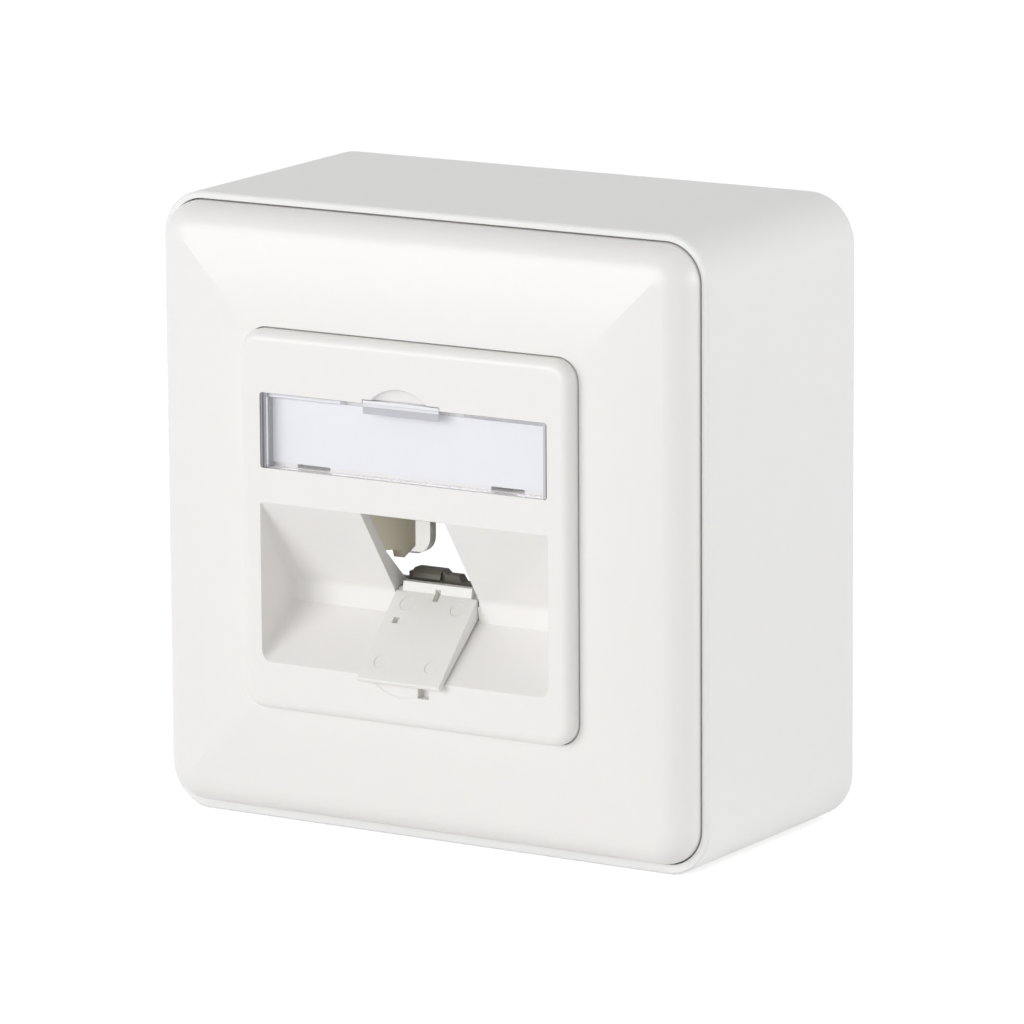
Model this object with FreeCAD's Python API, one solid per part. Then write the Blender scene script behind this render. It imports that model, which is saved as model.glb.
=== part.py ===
import FreeCAD, Part
import math
import os

# Surface mount outlet box for structured cabling: an 83 mm box with an 80 mm cover frame, a 50 mm
# centre plate with one angled port, a dust flap and a label window.
# Millimetres. +Z is up, +X is to the right of a person facing the outlet, and the front faces -Y.
# The origin is the centre of the back face, which lies on the wall.
# "Depth" is measured into the box from the cover frame's face, beside the centre plate.

Vector = FreeCAD.Vector
ORIGIN = Vector(0, 0, 0)
X_AXIS = Vector(1, 0, 0)
Y_AXIS = Vector(0, 1, 0)
Z_AXIS = Vector(0, 0, 1)
SIDES = (-1, 1)

# ---- box housing --------------------------------------------------------------------------------
WALL_TO_FACE = 41.7          # depth of the wall
BOX_SIZE = 83.0
BOX_CORNER = 6.5
BOX_DRAFT = 0.4              # the sides and the top lean in by this much from the wall to the rim
BOX_WALL = 2.0
BOX_BACK = 2.0
RIM_DEPTH = 4.9              # front edge of the rim
RIM_GAP = 0.2                # between the rim and the cover frame
RIM_CHAMFER = 0.25            # along the rim's outer edge
LEDGE_DEPTH = 6.7            # ledge that the cover frame's skirt stands on
CABLE_ENTRY = (64.0, 19.0, 3.0)      # width, height and corner of the two openings in the back
CABLE_ENTRY_Z = 15.5
WALL_SLOT_LENGTH = 8.0
WALL_SLOT_WIDTH = 4.4
FIXING_PITCH = 60.0          # wall slots and device screws
POST_RADIUS = 3.9
POST_HOLE = 1.35
POST_HOLE_LENGTH = 21.0
RIB = 1.8
KNOCK_OUT_WIDTH = 18.0       # cable slot scored on the inside of the top and bottom walls
KNOCK_OUT_LENGTH = 13.4
KNOCK_OUT_SCORE = 1.0        # width and depth of the scored line

# ---- cover frame --------------------------------------------------------------------------------
COVER_SIZE = 80.0
COVER_CORNER = 5.0
COVER_EDGE_SLOPE = 9.4       # the bulged face is level at the opening and falls this steeply, in
                             # degrees, where the rounded border begins
COVER_BORDER = 3.2           # width of the rounded border
COVER_WALL = 1.7
COVER_LEDGE = 1.3            # width of the ledge that carries the centre plate

# ---- centre plate -------------------------------------------------------------------------------
PLATE_SIZE = 50.0
PLATE_CORNER = 3.0
PLATE_PROUD = 2.2            # the plate's front stands this far in front of the cover frame's face
PLATE_EDGE = 1.3
PLATE_WALL = 1.6
PLATE_SKIRT = 1.8            # depth of the ledge that the plate's skirt stands on
PLATE_GAP = 0.12
RECESS_HALF = 21.8           # half width of the slanted recess
RECESS_TOP = 2.45
RECESS_BOTTOM = -18.66
RECESS_SHELL = 1.5
RECESS_CORNER = 1.3          # radius between the end walls and the slopes
RECESS_CORNER_TOP = 0.2      # the same at the top of the upper slope
VALLEY_DEPTH = 5.9
VALLEY_TOP = -9.05
VALLEY_BOTTOM = -12.05
PORT_HALF = 6.4              # half width of the port opening
PORT_BOTTOM = -11.75
PORT_DEPTH = 12.0
CHEEK_WALL = 1.8             # walls beside the port that hold the hinge pins
CHEEK_REAR = 10.9
SCOOP_RADIUS = 6.16          # finger scoops above the label and below the recess
SCOOP_TOP = 19.1
SCOOP_FOOT = 17.0
SCOOP_DEPTH = 0.75
LOW_SCOOP_BOTTOM = -21.1
LOW_SCOOP_DEPTH = 0.3
LATCH_HOLE = ((2.1, 3.8), (-20.9, -19.5))
LATCH_HOLE_DEPTH = 1.2

# ---- label window and strip ---------------------------------------------------------------------
LABEL_HALF = 21.7            # half width of the label pocket
LABEL_TOP = 16.9
LABEL_BOTTOM = 7.0
LABEL_FLOOR = 0.2            # depth of the pocket's floor
POCKET_WALL = 1.2
WINDOW_TOP = 16.55
WINDOW_GAP = 0.15
WINDOW_PANE = 1.0
WINDOW_RIM = 0.4
WINDOW_TAB = (-5.85, 5.65)   # finger tab on the window's upper edge
WINDOW_TAB_TOP = 17.3
WINDOW_TAB_THICK = 0.9
SNAP_GAP = (11.8, 17.4)      # gaps in the window's lower rim
SNAP_SLOT = (12.2, 17.2)     # slots in the pocket's floor behind those gaps
SNAP_SLOT_Z = (7.05, 7.85)
STRIP_THICK = 0.3
STRIP_MARGIN = 0.06

# ---- dust flap ----------------------------------------------------------------------------------
HINGE_DEPTH = 7.2
HINGE_Z = -9.2
FLAP_HALF = 6.2
FLAP_LENGTH = 14.6           # from the hinge axis to the tip
FLAP_OPEN_SLOPE = 40.5       # outer side of the open flap below the horizontal, degrees
FLAP_ARM = 0.97              # outer side of the flap from the hinge axis
FLAP_TIP = 0.7
FLAP_ROOT = 1.95
FLAP_TIP_ROUNDING = 0.25
PIN_RADIUS = 0.55
PIN_CLEARANCE = 0.06
PIN_REACH = 7.3              # pin's end from the middle of the flap
BARREL_HALF = 5.25
BARREL_RADIUS = 1.0
BAR_FRONT = 6.15             # flat front and top of the hinge bar
BAR_TOP = -7.72

# ---- inner fittings -----------------------------------------------------------------------------
SUPPORT_DEPTH = 7.0          # front of the steel support frame
SUPPORT_SIZE = 70.0
SUPPORT_SHEET = 1.0
SUPPORT_CLIP = 7.0           # clipped corners
SUPPORT_FLANGE = 2.2
SUPPORT_OPENING = (24.3, -21.4, 10.6)    # half width, bottom and top
PLATE_SCREW_Z = 13.4
BOSS_RADIUS = 4.2
HEAD_SEAT = 1.7              # the plate screw's head is sunk this far below the pocket's floor
PLATE_SCREW = (1.45, 2.9)    # shank and head radius
DEVICE_SCREW = (1.3, 3.1)
HOLDER_REAR = 10.9           # rear edge of the cheeks that seat a jack module
HOLDER_WALL = 1.6
HOLDER_TOP = 14.2
HOLDER_STOP = 1.4
STOP_BOTTOM = -5.1           # round foot of the stop behind each cheek
STOP_ROUNDING = 2.3
CATCH = (9.2, 10.75, -10.8)  # front, back and bottom of the dark catch
CATCH_SHOULDER = 0.85        # how far the catch reaches into each cheek

FRONT = -PLATE_PROUD         # depth of the plate's front
SUPPORT_BACK = SUPPORT_DEPTH + SUPPORT_SHEET


# ---- helpers ------------------------------------------------------------------------------------
def y_at(depth):
    return depth - WALL_TO_FACE


def point(x, depth, z):
    return Vector(x, y_at(depth), z)


def rounded_wire(half_x, half_z, radius, depth, centre_z=0.0):
    """Rounded rectangle in an XZ plane, as four arcs and four straight edges."""
    corners = []
    for index, (sign_x, sign_z) in enumerate(((1, 1), (-1, 1), (-1, -1), (1, -1))):
        middle_x = sign_x * (half_x - radius)
        middle_z = centre_z + sign_z * (half_z - radius)
        points = []
        for step in (0, 45, 90):
            angle = math.radians(90 * index + step)
            x = middle_x + radius * math.cos(angle)
            points.append(point(x, depth, middle_z + radius * math.sin(angle)))
        corners.append(points)
    edges = []
    for index, points in enumerate(corners):
        following = corners[(index + 1) % 4]
        edges.append(Part.Arc(*points).toShape())
        edges.append(Part.makeLine(points[2], following[0]))
    return Part.Wire(edges)


def square_wire(half, depth):
    corners = [point(x * half, depth, z * half) for x, z in ((1, 1), (-1, 1), (-1, -1), (1, -1), (1, 1))]
    return Part.makePolygon(corners)


def rounded_block(half_x, half_z, radius, depth_from, depth_to, centre_z=0.0):
    face = Part.Face(rounded_wire(half_x, half_z, radius, depth_from, centre_z))
    return face.extrude(Y_AXIS * (depth_to - depth_from))


def with_true_planes(solid):
    """The same solid with its flat faces as planes, which a loft leaves as ruled surfaces."""
    faces = []
    for face in solid.Faces:
        plane = face.findPlane()
        faces.append(Part.Face(plane, face.OuterWire) if plane else face)
    return Part.Solid(Part.Shell(faces))


def block(x_range, depth_range, z_range):
    size = [high - low for low, high in (x_range, depth_range, z_range)]
    return Part.makeBox(*size, point(x_range[0], depth_range[0], z_range[0]))


def prism_x(outline, x_from, x_to):
    """Extrudes an outline of (depth, z) points along X."""
    points = [point(x_from, depth, z) for depth, z in outline]
    face = Part.Face(Part.makePolygon(points + points[:1]))
    return face.extrude(X_AXIS * (x_to - x_from))


def prism_y(outline, depth_from, depth_to):
    """Extrudes an outline of (x, z) points along Y."""
    points = [point(x, depth_from, z) for x, z in outline]
    face = Part.Face(Part.makePolygon(points + points[:1]))
    return face.extrude(Y_AXIS * (depth_to - depth_from))


def rod_y(radius, depth_from, depth_to, x, z):
    return Part.makeCylinder(radius, depth_to - depth_from, point(x, depth_from, z), Y_AXIS)


def rod_x(radius, x_from, x_to, depth, z):
    return Part.makeCylinder(radius, x_to - x_from, point(x_from, depth, z), X_AXIS)


def slot_y(length, width, depth_from, depth_to, x, z):
    """Slot along X with round ends."""
    radius = width / 2
    reach = length / 2 - radius
    slot = block((x - reach, x + reach), (depth_from, depth_to), (z - radius, z + radius))
    for sign in SIDES:
        slot = slot.fuse(rod_y(radius, depth_from, depth_to, x + sign * reach, z))
    return slot


def outward(side, near, far):
    """X range from near to far on one side of the middle, in rising order."""
    return tuple(sorted((side * near, side * far)))


def along(start, *steps):
    """Point (depth, z) reached from start by steps of (direction, length)."""
    depth, z = start
    for direction, length in steps:
        depth += direction[0] * length
        z += direction[1] * length
    return depth, z


def toward(start, end):
    """Unit direction (depth, z) from start to end."""
    length = math.hypot(end[0] - start[0], end[1] - start[1])
    return (end[0] - start[0]) / length, (end[1] - start[1]) / length


# ---- directions of the recess and of the open flap, as (depth, z) -------------------------------
SLOPE_START = (FRONT, RECESS_TOP)
SLOPE_DOWN = toward(SLOPE_START, (VALLEY_DEPTH, VALLEY_TOP))
SLOPE_IN = (-SLOPE_DOWN[1], SLOPE_DOWN[0])       # square to the upper slope, into the box
SLOPE_BACK = along(SLOPE_START, (SLOPE_IN, RECESS_SHELL))

HINGE = (HINGE_DEPTH, HINGE_Z)
open_angle = math.radians(FLAP_OPEN_SLOPE)
FLAP_DOWN = (-math.cos(open_angle), -math.sin(open_angle))
FLAP_OUT = (math.sin(open_angle), -math.cos(open_angle))


def slope_back_at(depth):
    """Point on the back of the upper slope's wall."""
    return depth, SLOPE_BACK[1] + (depth - SLOPE_BACK[0]) * SLOPE_DOWN[1] / SLOPE_DOWN[0]


# ---- box housing --------------------------------------------------------------------------------
def knock_out_line():
    """Scored outline of a cable slot in the top wall."""
    inside = BOX_SIZE / 2 - BOX_WALL
    half = KNOCK_OUT_WIDTH / 2
    rear = WALL_TO_FACE - BOX_BACK - 0.6
    z_range = (inside - 1, inside + KNOCK_OUT_SCORE)
    outer = block((-half, half), (rear - KNOCK_OUT_LENGTH, rear), z_range)
    inner_half = half - KNOCK_OUT_SCORE
    inner = block((-inner_half, inner_half), (rear - KNOCK_OUT_LENGTH + KNOCK_OUT_SCORE, rear), z_range)
    return outer.cut(inner)


def make_box_housing():
    half = BOX_SIZE / 2
    lean = BOX_DRAFT / 2
    rim_wire = rounded_wire(half - BOX_DRAFT, half - lean, BOX_CORNER - BOX_DRAFT, RIM_DEPTH, -lean)
    wall_wire = rounded_wire(half, half, BOX_CORNER, WALL_TO_FACE)
    body = with_true_planes(Part.makeLoft([rim_wire, wall_wire], True, True))
    front_edges = [edge for edge in body.Edges if edge.BoundBox.YMax < y_at(RIM_DEPTH) + 0.01]
    body = body.makeChamfer(RIM_CHAMFER, front_edges)

    rebate = COVER_SIZE / 2 + RIM_GAP
    inside = half - BOX_WALL
    floor = WALL_TO_FACE - BOX_BACK
    body = body.cut(rounded_block(rebate, rebate, COVER_CORNER + RIM_GAP, RIM_DEPTH - 1, LEDGE_DEPTH))
    body = body.cut(rounded_block(inside, inside, BOX_CORNER - BOX_WALL, LEDGE_DEPTH - 1, floor))

    # Cable entries above and below the web that carries the screw posts, and four wall slots.
    through = (floor - 1, WALL_TO_FACE + 1)
    width, height, corner = CABLE_ENTRY
    for sign_z in SIDES:
        body = body.cut(rounded_block(width / 2, height / 2, corner, *through, sign_z * CABLE_ENTRY_Z))
        for sign_x in SIDES:
            centre = (sign_x * FIXING_PITCH / 2, sign_z * FIXING_PITCH / 2)
            body = body.cut(slot_y(WALL_SLOT_LENGTH, WALL_SLOT_WIDTH, *through, *centre))

    # Posts for the device screws, each tied to the side wall by a rib.
    post_ends = (SUPPORT_BACK, floor + 1)
    for side in SIDES:
        post_x = side * FIXING_PITCH / 2
        post = rod_y(POST_RADIUS, *post_ends, post_x, 0.0)
        rib = block(outward(side, FIXING_PITCH / 2, inside + 0.5), post_ends, (-RIB / 2, RIB / 2))
        body = body.fuse(post.fuse(rib))
        body = body.cut(rod_y(POST_HOLE, SUPPORT_BACK - 1, SUPPORT_BACK + POST_HOLE_LENGTH, post_x, 0.0))

    line = knock_out_line()
    body = body.cut(line).cut(line.mirror(ORIGIN, Z_AXIS))
    return body.removeSplitter()


# ---- cover frame --------------------------------------------------------------------------------
def make_cover_frame():
    half = COVER_SIZE / 2
    straight = half - COVER_CORNER
    border_start = half - COVER_BORDER
    opening = PLATE_SIZE / 2 + PLATE_GAP

    # A wide arc makes the bulged face, and a small one goes on from it and ends along the side.
    slope = math.radians(COVER_EDGE_SLOPE)
    face_radius = (border_start - opening) / math.sin(slope)
    face_drop = face_radius * (1 - math.cos(slope))
    border_radius = COVER_BORDER / (1 - math.sin(slope))
    side_depth = face_drop + border_radius * math.cos(slope)

    def face_depth(x):
        return face_radius - math.sqrt(face_radius ** 2 - (x - opening) ** 2)

    def face_arc(x_from, x_to, z):
        stops = [(x, face_depth(abs(x)), z) for x in (x_from, (x_from + x_to) / 2, x_to)]
        return Part.Arc(*[point(*stop) for stop in stops]).toShape()

    def edge_section(z):
        """Section of the outermost strip, from the corner's axis to the side."""
        middle_angle = (math.pi / 2 + slope) / 2
        arc_middle = point(half - border_radius * (1 - math.sin(middle_angle)),
                           side_depth - border_radius * math.cos(middle_angle), z)
        arc_end = point(half, side_depth, z)
        border_arc = Part.Arc(point(border_start, face_drop, z), arc_middle, arc_end).toShape()
        rest = [arc_end, point(half, LEDGE_DEPTH, z), point(straight, LEDGE_DEPTH, z),
                point(straight, face_depth(straight), z)]
        arcs = [face_arc(straight, border_start, z), border_arc]
        return Part.Face(Part.Wire(arcs + Part.makePolygon(rest).Edges))

    # Two crossed prisms make the face's mitred middle, and each corner is turned about its own axis.
    level = Part.makeLine(point(-opening, 0, -straight), point(opening, 0, -straight))
    outline = [face_arc(-straight, -opening, -straight), level, face_arc(opening, straight, -straight)]
    feet = [point(x, depth, -straight) for x, depth in
            ((straight, face_depth(straight)), (straight, LEDGE_DEPTH),
             (-straight, LEDGE_DEPTH), (-straight, face_depth(straight)))]
    section = Part.Face(Part.Wire(outline + Part.makePolygon(feet).Edges))
    prism = section.extrude(Z_AXIS * 2 * straight)
    crossed = prism.copy()
    crossed.rotate(ORIGIN, Y_AXIS, 90)
    body = prism.common(crossed)
    side_piece = edge_section(-straight).extrude(Z_AXIS * 2 * straight)
    corner_piece = edge_section(straight).revolve(Vector(straight, 0, straight), Y_AXIS * -1, 90)
    for quarter in range(4):
        for piece in (side_piece, corner_piece):
            turned = piece.copy()
            turned.rotate(ORIGIN, Y_AXIS, 90 * quarter)
            body = body.fuse(turned)
    body = body.removeSplitter()

    # Moulded as a shell: hollow behind the face, with a collar round the centre plate.
    outer = half - COVER_WALL
    collar = opening + COVER_WALL
    hollow = rounded_block(outer, outer, COVER_CORNER - COVER_WALL, side_depth, LEDGE_DEPTH + 1)
    behind_face = Part.makeLoft([square_wire(outer - COVER_WALL, side_depth + 0.5),
                                 square_wire(outer - COVER_WALL, face_drop + COVER_WALL),
                                 square_wire(collar, COVER_WALL)], True, True)
    hollow = hollow.fuse(with_true_planes(behind_face))
    hollow = hollow.cut(rounded_block(collar, collar, 2.0, 0.0, LEDGE_DEPTH + 2))
    body = body.cut(hollow)
    body = body.fuse(rounded_block(collar, collar, 2.0, LEDGE_DEPTH - 0.2, SUPPORT_DEPTH))

    # Opening for the centre plate, with the ledge that its skirt stands on.
    ledge = opening - COVER_LEDGE
    body = body.cut(rounded_block(opening, opening, PLATE_CORNER + PLATE_GAP, -1.0, PLATE_SKIRT))
    body = body.cut(rounded_block(ledge, ledge, 2.0, PLATE_SKIRT - 1, SUPPORT_DEPTH + 1))
    return body.removeSplitter()


# ---- centre plate -------------------------------------------------------------------------------
def recess_cutter():
    """The slanted recess, with soft corners between its end walls and its slopes.

    The corner's radius grows down the upper slope and stays even round the valley."""
    outline = [(FRONT - 2, RECESS_TOP), SLOPE_START, (VALLEY_DEPTH, VALLEY_TOP),
               (VALLEY_DEPTH, VALLEY_BOTTOM), (FRONT, RECESS_BOTTOM), (FRONT - 2, RECESS_BOTTOM)]
    cutter = prism_x(outline, -RECESS_HALF, RECESS_HALF)

    def on_end_wall(edge):
        box = edge.BoundBox
        return box.XLength < 0.01 and box.YMax > y_at(FRONT) + 1

    def on_upper_slope(edge):
        return on_end_wall(edge) and edge.BoundBox.ZMax > RECESS_TOP - 0.01

    upper_edges = [edge for edge in cutter.Edges if on_upper_slope(edge)]
    cutter = cutter.makeFillet(RECESS_CORNER_TOP, RECESS_CORNER, upper_edges)
    other_edges = [edge for edge in cutter.Edges
                   if on_end_wall(edge) and abs(edge.BoundBox.Center.x) > RECESS_HALF - 0.01]
    return cutter.makeFillet(RECESS_CORNER, other_edges)


def recess_shell():
    """Solid block behind the plate that leaves an even wall round the recess."""
    start = FRONT + 1.0
    back = VALLEY_DEPTH + RECESS_SHELL
    rise = (VALLEY_BOTTOM - RECESS_BOTTOM) / (VALLEY_DEPTH - FRONT)

    def lower_at(depth):
        return depth, RECESS_BOTTOM + (depth - FRONT) * rise - RECESS_SHELL * math.hypot(1, rise)

    half = RECESS_HALF + RECESS_SHELL
    return prism_x([slope_back_at(start), slope_back_at(back), lower_at(back), lower_at(start)], -half, half)


def hinge_cheek(side):
    """Wall beside the port opening that takes a hinge pin and one end of the catch."""
    cheek_top = HINGE_Z + 1.1
    cheek_foot = HINGE_Z - 2.7
    outline = [along(SLOPE_START, (SLOPE_IN, 1.0), (SLOPE_DOWN, 8.0)), (4.1, -3.8), (8.7, cheek_top),
               (CHEEK_REAR, cheek_top), (CHEEK_REAR, cheek_foot), (6.5, cheek_foot), (6.5, VALLEY_TOP)]
    cheek = prism_x(outline, *outward(side, PORT_HALF, PORT_HALF + CHEEK_WALL))
    catch_front, _, catch_bottom = CATCH
    catch_seat = block(outward(side, PORT_HALF - 1, PORT_HALF + 1), (catch_front, CHEEK_REAR + 0.1),
                       (catch_bottom, cheek_top + 0.1))
    return cheek.cut(catch_seat)


def finger_scoops():
    """Arc-shaped scoop above the label window, and a shallow one below the recess."""
    scoop = rod_y(SCOOP_RADIUS, FRONT - 1, FRONT + SCOOP_DEPTH, -0.4, SCOOP_TOP - SCOOP_RADIUS)
    falling_floor = prism_x([(FRONT - 1, SCOOP_FOOT), (FRONT, SCOOP_FOOT),
                             (FRONT + SCOOP_DEPTH, SCOOP_TOP + 0.1), (FRONT - 1, SCOOP_TOP + 0.1)],
                            -SCOOP_RADIUS, SCOOP_RADIUS)
    low_middle = LOW_SCOOP_BOTTOM + SCOOP_RADIUS
    low_scoop = rod_y(SCOOP_RADIUS, FRONT - 1, FRONT + LOW_SCOOP_DEPTH, -0.3, low_middle)
    below_recess = block((-SCOOP_RADIUS, SCOOP_RADIUS), (FRONT - 1, FRONT + 1),
                         (LOW_SCOOP_BOTTOM - 0.5, RECESS_BOTTOM + 0.2))
    return scoop.common(falling_floor).fuse(low_scoop.common(below_recess))


def make_centre_plate():
    half = PLATE_SIZE / 2
    body = rounded_block(half, half, PLATE_CORNER, FRONT, PLATE_SKIRT)
    front_edges = [edge for edge in body.Edges if edge.BoundBox.YMax < y_at(FRONT) + 0.01]
    body = body.makeFillet(PLATE_EDGE, front_edges)
    inside = half - PLATE_WALL
    body = body.cut(rounded_block(inside, inside, PLATE_CORNER - PLATE_WALL,
                                  FRONT + PLATE_WALL, PLATE_SKIRT + 1))

    # Walls behind the label pocket and the recess, and the boss for the plate screw.
    pocket_half = LABEL_HALF + POCKET_WALL
    body = body.fuse(block((-pocket_half, pocket_half), (FRONT + 1, LABEL_FLOOR + POCKET_WALL),
                           (LABEL_BOTTOM - POCKET_WALL, LABEL_TOP + POCKET_WALL)))
    body = body.fuse(rod_y(BOSS_RADIUS, LABEL_FLOOR, SUPPORT_DEPTH, 0.0, PLATE_SCREW_Z))
    body = body.fuse(recess_shell())

    # Recess, label pocket and the sunk screw seat.
    body = body.cut(recess_cutter())
    label_middle = (LABEL_TOP + LABEL_BOTTOM) / 2
    label_half_z = (LABEL_TOP - LABEL_BOTTOM) / 2
    body = body.cut(rounded_block(LABEL_HALF, label_half_z, 0.4, FRONT - 1, LABEL_FLOOR, label_middle))
    for side in SIDES:
        body = body.cut(block(outward(side, *SNAP_SLOT), (LABEL_FLOOR - 0.1, LABEL_FLOOR + POCKET_WALL + 0.1),
                              SNAP_SLOT_Z))
    shank, head = PLATE_SCREW
    body = body.cut(rod_y(head + 0.2, LABEL_FLOOR - 0.5, LABEL_FLOOR + HEAD_SEAT, 0.0, PLATE_SCREW_Z))
    body = body.cut(rod_y(shank + 0.25, LABEL_FLOOR, SUPPORT_DEPTH + 1, 0.0, PLATE_SCREW_Z))

    # Port through the upper slope and the valley, with a hinge cheek on each side.
    port = [along(SLOPE_START, (SLOPE_IN, -2.0)), along(SLOPE_START, (SLOPE_IN, 4.5)), (PORT_DEPTH, 2.0),
            (PORT_DEPTH, PORT_BOTTOM), (3.9, PORT_BOTTOM)]
    body = body.cut(prism_x(port, -PORT_HALF, PORT_HALF))
    for side in SIDES:
        body = body.fuse(hinge_cheek(side))
        pin_socket = outward(side, PORT_HALF - 1, PIN_REACH + 0.15)
        body = body.cut(rod_x(PIN_RADIUS + PIN_CLEARANCE, *pin_socket, *HINGE))

    # Finger scoops, room for the window's tab, and the small latch hole.
    body = body.cut(finger_scoops())
    body = body.cut(block((WINDOW_TAB[0] - 0.1, WINDOW_TAB[1] + 0.1), (FRONT - 1, FRONT + WINDOW_TAB_THICK),
                          (LABEL_TOP - 0.5, WINDOW_TAB_TOP + 0.1)))
    latch_x, latch_z = LATCH_HOLE
    body = body.cut(block(latch_x, (FRONT - 1, FRONT + LATCH_HOLE_DEPTH), latch_z))
    return body.removeSplitter()


# ---- dust flap ----------------------------------------------------------------------------------
def make_dust_flap():
    # Wedge section of the open flap: a thin tip and a thicker hinge end.
    tip_outer = along(HINGE, (FLAP_DOWN, FLAP_LENGTH), (FLAP_OUT, FLAP_ARM))
    tip_inner = along(tip_outer, (FLAP_OUT, -FLAP_TIP))
    root_outer = along(HINGE, (FLAP_DOWN, 2.15), (FLAP_OUT, FLAP_ARM))
    root_inner = along(HINGE, (FLAP_DOWN, 0.81), (FLAP_OUT, FLAP_ARM - FLAP_ROOT))
    body = prism_x([root_inner, tip_inner, tip_outer, root_outer], -FLAP_HALF, FLAP_HALF)
    tip_y = y_at(tip_inner[0]) + FLAP_TIP
    tip_edges = [edge for edge in body.Edges if edge.BoundBox.YMax < tip_y and edge.BoundBox.XLength > 1]
    body = body.makeFillet(FLAP_TIP_ROUNDING, tip_edges)

    # Hinge bar with a flat front, rounded behind, and a pin at each end.
    bar = [(BAR_FRONT, BAR_TOP), (BAR_FRONT + 1.0, BAR_TOP), (HINGE_DEPTH + 0.87, HINGE_Z + 0.5),
           (HINGE_DEPTH, HINGE_Z - BARREL_RADIUS), (root_outer[0] - 0.1, root_outer[1] + 0.3),
           (root_inner[0] - 0.45, root_inner[1] - 1.0), (root_inner[0], root_inner[1] - 0.02)]
    body = body.fuse(prism_x(bar, -BARREL_HALF, BARREL_HALF))
    body = body.fuse(rod_x(BARREL_RADIUS, -BARREL_HALF, BARREL_HALF, *HINGE))
    body = body.fuse(rod_x(PIN_RADIUS, -PIN_REACH, PIN_REACH, *HINGE))

    # Slot and square hole in the inner face.
    face_down = toward(root_inner, tip_inner)
    face_out = (face_down[1], -face_down[0])

    def on_face(distance, height):
        return along(root_inner, (face_down, distance), (face_out, height))

    def pocket(x_range, start, end, sink):
        outline = [on_face(start, 1.0), on_face(end, 1.0), on_face(end, -sink), on_face(start, -sink)]
        return prism_x(outline, *x_range)

    body = body.cut(pocket((-0.25, 0.55), -0.5, 1.1, 0.9))
    body = body.cut(pocket((-4.75, -3.85), 4.1, 5.0, 0.7))

    return body.removeSplitter()


# ---- label window and strip ---------------------------------------------------------------------
def make_label_window():
    """Clear tray with its open side on the pocket's floor, and a tab for a finger nail."""
    half = LABEL_HALF - WINDOW_GAP
    low = LABEL_BOTTOM + WINDOW_GAP
    behind_pane = (FRONT + WINDOW_PANE, LABEL_FLOOR + 1)
    body = rounded_block(half, (WINDOW_TOP - low) / 2, 0.3, FRONT, LABEL_FLOOR, (WINDOW_TOP + low) / 2)
    tab_z = (WINDOW_TOP - 0.5, WINDOW_TAB_TOP)
    body = body.fuse(block(WINDOW_TAB, (FRONT, FRONT + WINDOW_TAB_THICK), tab_z))
    hollow_z = (low + WINDOW_RIM, WINDOW_TOP - WINDOW_RIM)
    body = body.cut(block((WINDOW_RIM - half, half - WINDOW_RIM), behind_pane, hollow_z))

    groove_top = WINDOW_TOP - 0.1
    groove = [(FRONT - 0.1, groove_top - 0.85), (FRONT, groove_top - 0.85), (FRONT + 0.5, groove_top - 0.1),
              (FRONT, groove_top), (FRONT - 0.1, groove_top)]
    body = body.cut(prism_x(groove, WINDOW_TAB[0] + 0.3, WINDOW_TAB[1] - 0.1))
    for side in SIDES:
        body = body.cut(block(outward(side, *SNAP_GAP), behind_pane, (low - 0.5, low + WINDOW_RIM + 0.1)))
    return body.removeSplitter()


def make_label_strip():
    half = LABEL_HALF - WINDOW_GAP - WINDOW_RIM - STRIP_MARGIN
    low = LABEL_BOTTOM + WINDOW_GAP + WINDOW_RIM + STRIP_MARGIN
    top = WINDOW_TOP - WINDOW_RIM - STRIP_MARGIN
    return block((-half, half), (LABEL_FLOOR - STRIP_THICK, LABEL_FLOOR), (low, top))


# ---- inner fittings -----------------------------------------------------------------------------
def make_support_frame():
    """Stamped steel frame with clipped corners, folded upper and lower edges and a threaded neck."""
    half = SUPPORT_SIZE / 2
    inner = half - SUPPORT_CLIP
    outline = [(half, inner), (inner, half), (-inner, half), (-half, inner),
               (-half, -inner), (-inner, -half), (inner, -half), (half, -inner)]
    body = prism_y(outline, SUPPORT_DEPTH, SUPPORT_BACK)
    flange = (SUPPORT_DEPTH, SUPPORT_BACK + SUPPORT_FLANGE)
    through = (SUPPORT_DEPTH - 1, SUPPORT_BACK + 1)
    opening_half, bottom, top = SUPPORT_OPENING
    body = body.cut(rounded_block(opening_half, (top - bottom) / 2, 1.5, *through, (top + bottom) / 2))
    for sign in SIDES:
        body = body.fuse(block((4 - inner, inner - 4), flange, outward(sign, half - SUPPORT_SHEET, half)))
        body = body.cut(slot_y(6.4, 3.7, *through, sign * FIXING_PITCH / 2, 0.0))
        for side in SIDES:
            body = body.cut(block(outward(side, 26.4, 29.6), through, outward(sign, 15.0, 25.0)))
    body = body.fuse(rod_y(2.6, SUPPORT_DEPTH, SUPPORT_BACK + 1.2, 0.0, PLATE_SCREW_Z))
    body = body.cut(rod_y(PLATE_SCREW[0] + 0.05, SUPPORT_DEPTH - 1, SUPPORT_BACK + 2, 0.0, PLATE_SCREW_Z))
    return body.removeSplitter()


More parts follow.
